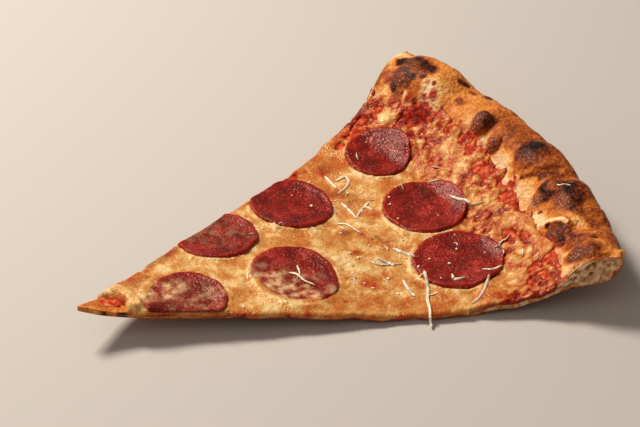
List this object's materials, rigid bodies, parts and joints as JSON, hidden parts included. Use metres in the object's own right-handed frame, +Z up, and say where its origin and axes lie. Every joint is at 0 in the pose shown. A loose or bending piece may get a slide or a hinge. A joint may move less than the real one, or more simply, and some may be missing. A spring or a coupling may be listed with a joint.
{
  "type": "pepperoni pizza slice",
  "caption": "Wedge slice of pepperoni pizza with a thin base, a raised blistered crust rim, tomato sauce, melted cheese and cupped rounds of sausage, sagged as served.",
  "frame": {"origin": "on the level stretch of the underside, 150 mm from the tip on the middle line", "axes": "+X from the tip to the crust along the middle line, +Z up, +Y towards the cut on the left when looking from the tip to the crust"},
  "size_m": [0.2281, 0.1811, 0.0309],
  "materials": {
    "baked_dough": "baked wheat dough, matt, browned and charred in spots",
    "tomato_sauce": "cooked crushed tomato, moist",
    "melted_cheese": "melted mozzarella, oily, toasted in spots",
    "pepperoni_sausage": "cured sausage, greasy, flecked with fat",
    "grated_cheese": "dry grated hard cheese",
    "dried_herb": "dried oregano flakes"
  },
  "bodies": {
    "root": {"dough": "baked_dough", "sauce": "tomato_sauce", "cheese": "melted_cheese", "pepperoni_1": "pepperoni_sausage", "pepperoni_2": "pepperoni_sausage", "pepperoni_3": "pepperoni_sausage", "pepperoni_4": "pepperoni_sausage", "pepperoni_5": "pepperoni_sausage", "pepperoni_6": "pepperoni_sausage", "pepperoni_7": "pepperoni_sausage"}
  },
  "joints": []
}
